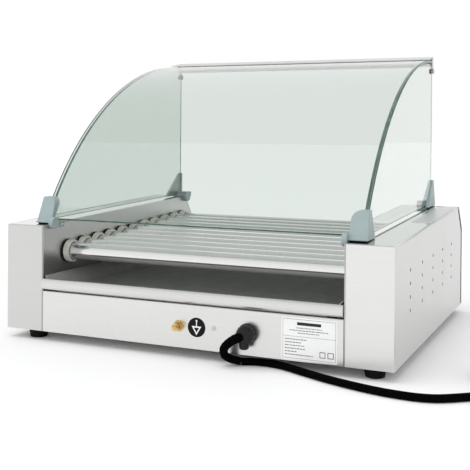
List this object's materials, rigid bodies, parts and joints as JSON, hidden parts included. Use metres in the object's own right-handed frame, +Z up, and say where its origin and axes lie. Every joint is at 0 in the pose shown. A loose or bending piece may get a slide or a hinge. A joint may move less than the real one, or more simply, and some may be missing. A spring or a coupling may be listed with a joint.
{
  "type": "hot dog roller grill",
  "caption": "Countertop roller grill with parallel heated rollers, a pull-out drip tray, a bent glass guard, rear controls and a mains cord.",
  "frame": {"origin": "on the table, under the middle of the casing: the centre of the bottom of the box round everything but the cord", "axes": "+X to the right of someone facing the cord side, +Y from the cord side to the operator's side, +Z up"},
  "size_m": [0.801, 0.5583, 0.4356],
  "materials": {
    "casing": "satin stainless sheet",
    "roller": "polished stainless tube",
    "tray": "satin stainless sheet",
    "guard_glass": "clear, pale green edges",
    "clamp": "moulded, fine texture",
    "collar": "off-white low-friction plastic",
    "foot": "matt black rubber",
    "cord": "matt black rubber sheath",
    "brass": "turned",
    "control": "black moulded plastic",
    "drive": "oiled carbon steel",
    "element": "heat-dulled steel"
  },
  "bodies": {
    "casing": {"base_plate": "casing", "left_cover": "casing", "right_cover": "casing", "left_inner_wall": "casing", "right_inner_wall": "casing", "inlet_panel": "casing", "control_panel": "casing", "top_trim": "casing", "curved_glass": "guard_glass", "left_side_glass": "guard_glass", "right_side_glass": "guard_glass", "front_left_clamp": "clamp", "front_right_clamp": "clamp", "rear_left_clamp": "clamp", "rear_right_clamp": "clamp", "left_bearing_strip": "collar", "right_bearing_strip": "collar", "foot_front_left": "foot", "foot_front_right": "foot", "foot_rear_left": "foot", "foot_rear_right": "foot", "mains_cord": "cord", "cord_coil": "cord", "earth_terminal": "brass", "cable_gland": "control", "mains_plug": "control", "switch_body": "control", "terminal_block": "control", "drive_chain": "drive", "gear_motor": "drive", "heater_rack": "element", "left_thermostat": "element", "right_thermostat": "element"},
    "roller_01_body": {"roller_01": "roller", "sprocket_01": "drive"},
    "roller_02_body": {"roller_02": "roller", "sprocket_02": "drive"},
    "roller_03_body": {"roller_03": "roller", "sprocket_03": "drive"},
    "roller_04_body": {"roller_04": "roller", "sprocket_04": "drive"},
    "roller_05_body": {"roller_05": "roller", "sprocket_05": "drive"},
    "roller_06_body": {"roller_06": "roller", "sprocket_06": "drive"},
    "roller_07_body": {"roller_07": "roller", "sprocket_07": "drive"},
    "roller_08_body": {"roller_08": "roller", "sprocket_08": "drive"},
    "roller_09_body": {"roller_09": "roller", "sprocket_09": "drive"},
    "roller_10_body": {"roller_10": "roller", "sprocket_10": "drive"},
    "roller_11_body": {"roller_11": "roller", "sprocket_11": "drive"},
    "motor_wheel": {"motor_sprocket": "drive"},
    "tray": {"drip_tray": "tray"},
    "left_knob_body": {"left_knob": "control"},
    "right_knob_body": {"right_knob": "control"},
    "rocker": {"power_rocker": "control"}
  },
  "joints": [
    {"name": "roller_01_spin", "type": "hinge", "parent": "casing", "child": "roller_01_body", "pos_m": [0, -0.1796, 0.1242], "axis": [1, 0, 0], "continuous": true},
    {"name": "roller_02_spin", "type": "hinge", "parent": "casing", "child": "roller_02_body", "pos_m": [0, -0.1426, 0.12564], "axis": [1, 0, 0], "continuous": true},
    {"name": "roller_03_spin", "type": "hinge", "parent": "casing", "child": "roller_03_body", "pos_m": [0, -0.1056, 0.12709], "axis": [1, 0, 0], "continuous": true},
    {"name": "roller_04_spin", "type": "hinge", "parent": "casing", "child": "roller_04_body", "pos_m": [0, -0.0686, 0.12853], "axis": [1, 0, 0], "continuous": true},
    {"name": "roller_05_spin", "type": "hinge", "parent": "casing", "child": "roller_05_body", "pos_m": [0, -0.0316, 0.12997], "axis": [1, 0, 0], "continuous": true},
    {"name": "roller_06_spin", "type": "hinge", "parent": "casing", "child": "roller_06_body", "pos_m": [0, 0.0054, 0.13142], "axis": [1, 0, 0], "continuous": true},
    {"name": "roller_07_spin", "type": "hinge", "parent": "casing", "child": "roller_07_body", "pos_m": [0, 0.0424, 0.13286], "axis": [1, 0, 0], "continuous": true},
    {"name": "roller_08_spin", "type": "hinge", "parent": "casing", "child": "roller_08_body", "pos_m": [0, 0.0794, 0.1343], "axis": [1, 0, 0], "continuous": true},
    {"name": "roller_09_spin", "type": "hinge", "parent": "casing", "child": "roller_09_body", "pos_m": [0, 0.1164, 0.13574], "axis": [1, 0, 0], "continuous": true},
    {"name": "roller_10_spin", "type": "hinge", "parent": "casing", "child": "roller_10_body", "pos_m": [0, 0.1534, 0.13719], "axis": [1, 0, 0], "continuous": true},
    {"name": "roller_11_spin", "type": "hinge", "parent": "casing", "child": "roller_11_body", "pos_m": [0, 0.1904, 0.13863], "axis": [1, 0, 0], "continuous": true},
    {"name": "motor_spin", "type": "hinge", "parent": "casing", "child": "motor_wheel", "pos_m": [0.237, 0.009, 0.064], "axis": [1, 0, 0], "continuous": true},
    {"name": "tray_slide", "type": "slide", "parent": "casing", "child": "tray", "axis": [0, -1, 0], "range_m": [0, 0.4]},
    {"name": "left_knob_turn", "type": "hinge", "parent": "casing", "child": "left_knob_body", "pos_m": [-0.12, 0.249, 0.08], "axis": [0, -1, 0], "range_deg": [0, 300]},
    {"name": "right_knob_turn", "type": "hinge", "parent": "casing", "child": "right_knob_body", "pos_m": [0.12, 0.249, 0.08], "axis": [0, -1, 0], "range_deg": [0, 300]},
    {"name": "rocker_tilt", "type": "hinge", "parent": "casing", "child": "rocker", "pos_m": [0, 0.241, 0.08], "axis": [1, 0, 0], "range_deg": [0, 18]}
  ],
  "couplings": [
    {"joint": "roller_02_spin", "follows": "roller_01_spin", "ratio": 1},
    {"joint": "roller_03_spin", "follows": "roller_01_spin", "ratio": 1},
    {"joint": "roller_04_spin", "follows": "roller_01_spin", "ratio": 1},
    {"joint": "roller_05_spin", "follows": "roller_01_spin", "ratio": 1},
    {"joint": "roller_06_spin", "follows": "roller_01_spin", "ratio": 1},
    {"joint": "roller_07_spin", "follows": "roller_01_spin", "ratio": 1},
    {"joint": "roller_08_spin", "follows": "roller_01_spin", "ratio": 1},
    {"joint": "roller_09_spin", "follows": "roller_01_spin", "ratio": 1},
    {"joint": "roller_10_spin", "follows": "roller_01_spin", "ratio": 1},
    {"joint": "roller_11_spin", "follows": "roller_01_spin", "ratio": 1},
    {"joint": "motor_spin", "follows": "roller_01_spin", "ratio": 1}
  ]
}
